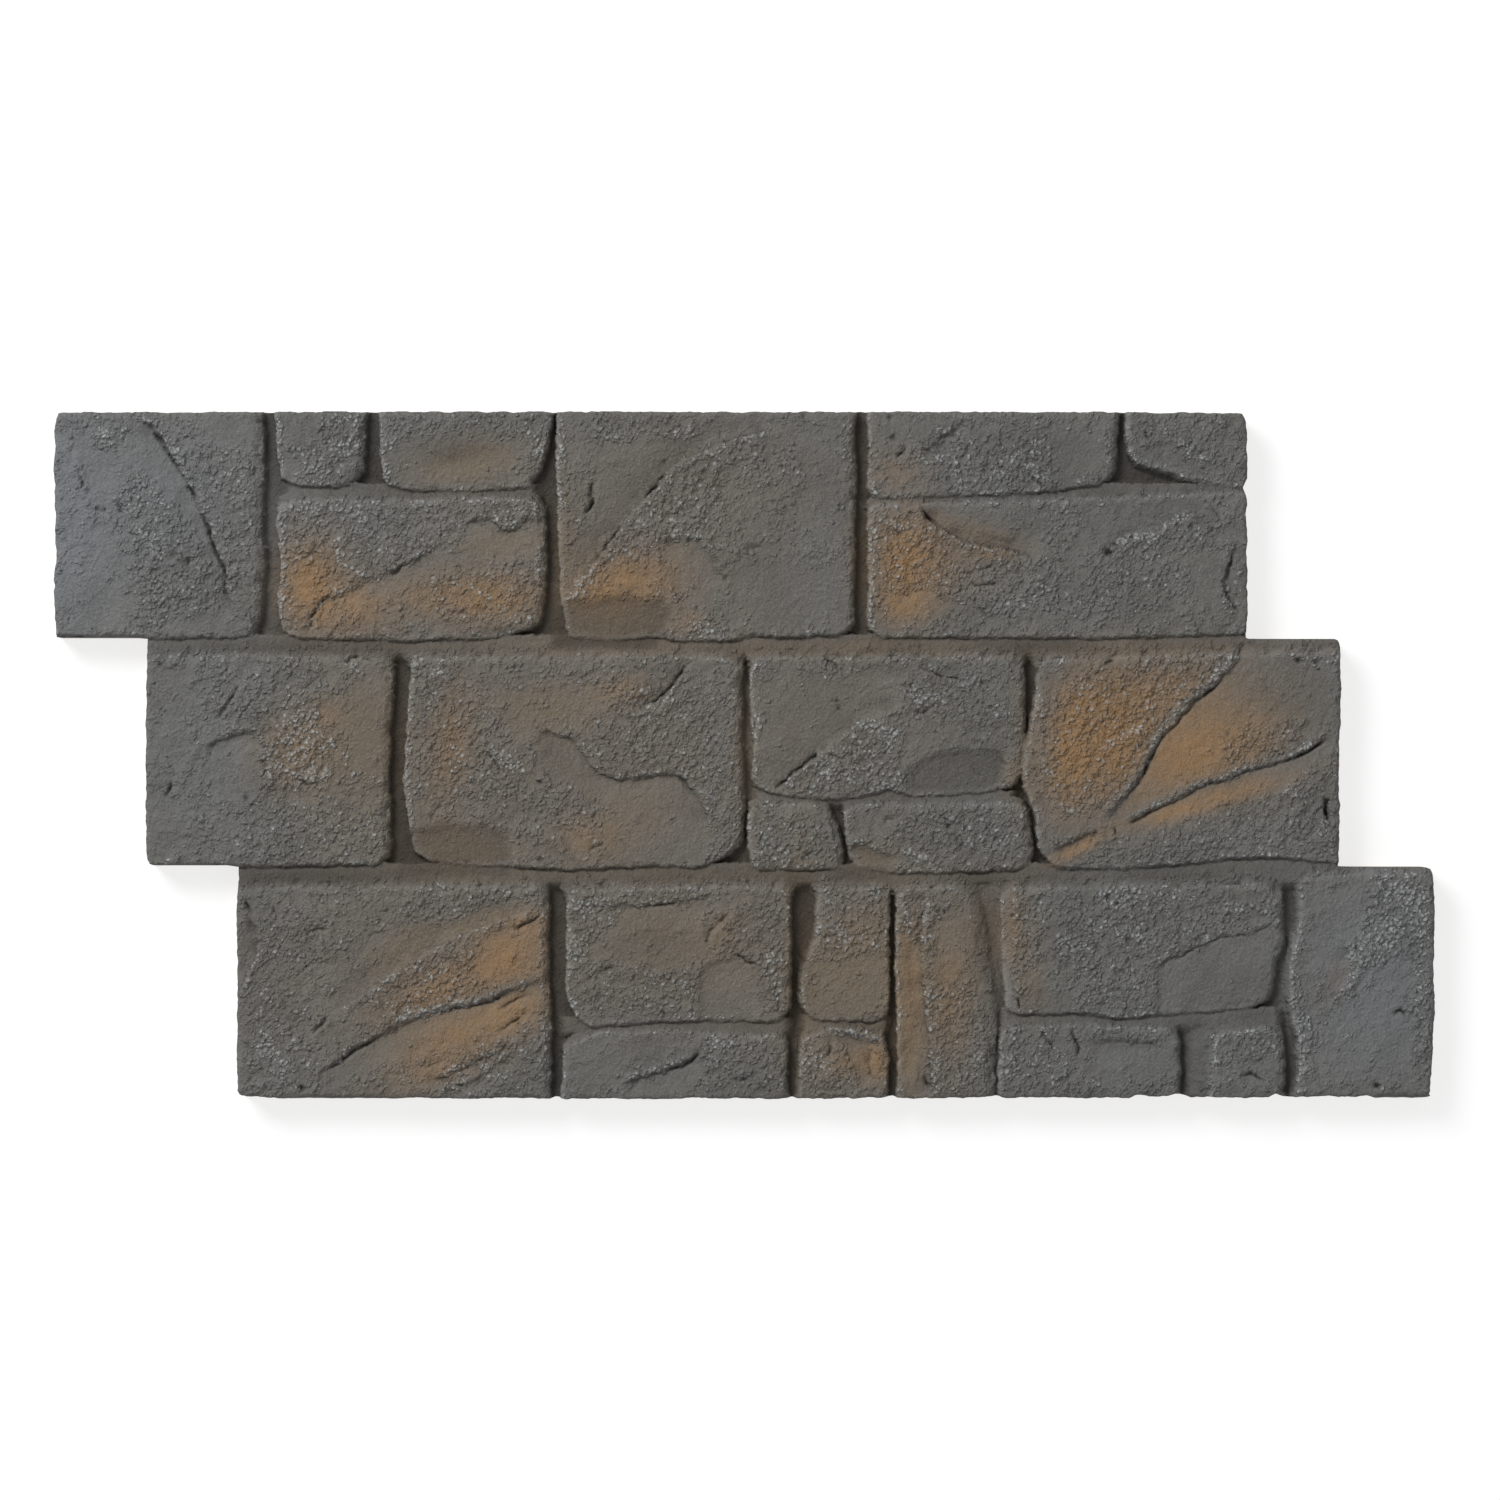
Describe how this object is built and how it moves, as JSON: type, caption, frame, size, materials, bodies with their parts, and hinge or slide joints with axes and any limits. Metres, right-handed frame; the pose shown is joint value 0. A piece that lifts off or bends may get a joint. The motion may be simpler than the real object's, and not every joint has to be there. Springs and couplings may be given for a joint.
{
  "type": "faux stone wall panel",
  "caption": "Moulded rigid foam wall panel with a flat back and a front of split stone faces in stepped courses, painted grey with ochre patches.",
  "frame": {"origin": "under the middle of the panel, on its flat back, as the panel lies face up", "axes": "+X along the courses, towards the side that the courses step out to; +Y up the wall; +Z out of the stone face"},
  "size_m": [1.219, 0.6076, 0.038],
  "materials": {
    "painted_foam": "matte painted stone texture, grey with ochre patches and pale dry-brushed high spots"
  },
  "bodies": {
    "root": {"wall_panel": "painted_foam"}
  },
  "joints": []
}
